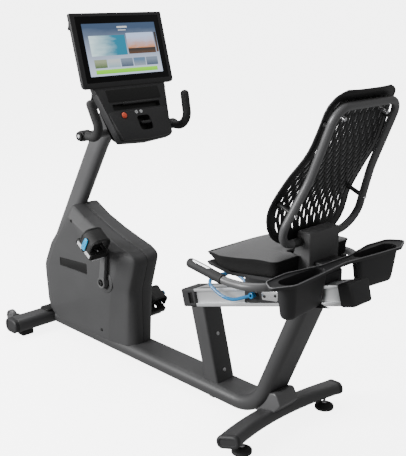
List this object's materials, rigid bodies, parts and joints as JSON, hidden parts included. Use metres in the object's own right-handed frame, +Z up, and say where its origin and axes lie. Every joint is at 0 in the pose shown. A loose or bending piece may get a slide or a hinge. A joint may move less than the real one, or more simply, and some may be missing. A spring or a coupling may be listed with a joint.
{
  "type": "recumbent exercise bike",
  "caption": "Recumbent exercise bike with a low step-through tube, drive housing, tilted screen console, sliding seat on a sloped rail and a meshed reclining backrest.",
  "frame": {"origin": "on the floor under the middle of the bike's overall box, in its plane of symmetry", "axes": "+X to the rider's right, +Y forward (the way the rider faces), +Z up"},
  "size_m": [0.6562, 1.7123, 1.3572],
  "materials": {
    "charcoal_paint": "satin powder coat",
    "grey_paint": "satin powder coat",
    "housing_plastic": "fine-grained moulding",
    "dark_plastic": "fine-grained moulding",
    "aluminium": "anodised extrusion",
    "steel": "bright zinc",
    "black_steel": "black coated",
    "rubber": "matte",
    "vinyl": "embossed vinyl",
    "mesh": "perforated moulding",
    "blue_plastic": "gloss",
    "cyan_plastic": "gloss",
    "red_plastic": "gloss",
    "light_plastic": "gloss",
    "screen": "glossy display"
  },
  "bodies": {
    "frame": {"main_tube": "charcoal_paint", "front_stabilizer": "charcoal_paint", "rear_stabilizer": "charcoal_paint", "stabilizer_caps": "dark_plastic", "rubber_feet": "rubber", "foot_studs": "steel", "rear_gusset": "grey_paint", "wheel_brackets": "grey_paint", "front_post": "charcoal_paint", "mast": "grey_paint", "seat_post": "charcoal_paint", "post_screws": "steel", "rail": "aluminium", "rail_front_cap": "dark_plastic", "rail_rear_cap": "dark_plastic", "housing_left": "housing_plastic", "housing_right": "housing_plastic", "housing_screws": "steel", "housing_badges": "dark_plastic", "bottom_bracket": "grey_paint", "crank_bearings": "steel", "flywheel_fork": "grey_paint", "drive_belt": "rubber", "console_bracket": "charcoal_paint", "screen_back": "dark_plastic", "screen_bezel": "dark_plastic", "screen_display": "screen", "console_pod": "dark_plastic", "pod_panel": "dark_plastic", "audio_jacks": "light_plastic", "handlebar": "grey_paint", "handlebar_grips": "rubber", "handlebar_plugs": "steel"},
    "crank": {"crank_axle": "steel", "drive_pulley": "dark_plastic", "crank_arm_left": "black_steel", "crank_arm_right": "black_steel", "crank_bolts": "steel", "pedal_axles": "steel"},
    "pedal_left": {"pedal_left": "rubber", "pedal_left_strap": "rubber", "pedal_left_buckle": "cyan_plastic"},
    "pedal_right": {"pedal_right": "rubber", "pedal_right_strap": "rubber", "pedal_right_buckle": "cyan_plastic"},
    "flywheel": {"flywheel": "steel"},
    "wheel_left": {"transport_wheel_left": "light_plastic"},
    "wheel_right": {"transport_wheel_right": "light_plastic"},
    "carriage": {"carriage": "dark_plastic", "seat_pan": "dark_plastic", "seat_cushion": "vinyl", "back_bracket": "grey_paint", "side_handles": "grey_paint", "side_grips": "rubber", "pulse_sensors": "aluminium", "storage_tray": "dark_plastic"},
    "seat_lever": {"seat_lever": "blue_plastic"},
    "backrest": {"backrest_frame": "grey_paint", "backrest_shell": "mesh"},
    "stop_button": {"stop_button": "red_plastic"}
  },
  "joints": [
    {"name": "crank_spin", "type": "hinge", "parent": "frame", "child": "crank", "pos_m": [0, 0.2955, 0.33], "axis": [-1, 0, 0], "continuous": true},
    {"name": "flywheel_spin", "type": "hinge", "parent": "frame", "child": "flywheel", "pos_m": [0, 0.5235, 0.255], "axis": [-1, 0, 0], "continuous": true},
    {"name": "pedal_left_spin", "type": "hinge", "parent": "crank", "child": "pedal_left", "pos_m": [-0.16, 0.27254, 0.49339], "axis": [1, 0, 0], "continuous": true},
    {"name": "pedal_right_spin", "type": "hinge", "parent": "crank", "child": "pedal_right", "pos_m": [0.16, 0.31846, 0.16661], "axis": [1, 0, 0], "continuous": true},
    {"name": "wheel_left_spin", "type": "hinge", "parent": "frame", "child": "wheel_left", "pos_m": [-0.205, 0.8255, 0.062], "axis": [-1, 0, 0], "continuous": true},
    {"name": "wheel_right_spin", "type": "hinge", "parent": "frame", "child": "wheel_right", "pos_m": [0.205, 0.8255, 0.062], "axis": [-1, 0, 0], "continuous": true},
    {"name": "seat_slide", "type": "slide", "parent": "frame", "child": "carriage", "axis": [0, 0.9622, -0.2723], "range_m": [-0.05, 0.24]},
    {"name": "lever_lift", "type": "hinge", "parent": "carriage", "child": "seat_lever", "pos_m": [0, -0.4705, 0.476], "axis": [1, 0, 0], "range_deg": [0, 12], "stiffness_Nm_per_rad": 3, "springref_deg": -11.46},
    {"name": "backrest_recline", "type": "hinge", "parent": "carriage", "child": "backrest", "pos_m": [0, -0.6645, 0.703], "axis": [1, 0, 0], "range_deg": [0, 12]},
    {"name": "stop_press", "type": "slide", "parent": "frame", "child": "stop_button", "axis": [0, 0.8988, -0.4384], "range_m": [0, 0.002], "stiffness_N_per_m": 800, "springref_m": -0.001}
  ],
  "couplings": [
    {"joint": "flywheel_spin", "follows": "crank_spin", "ratio": 4.6316}
  ]
}
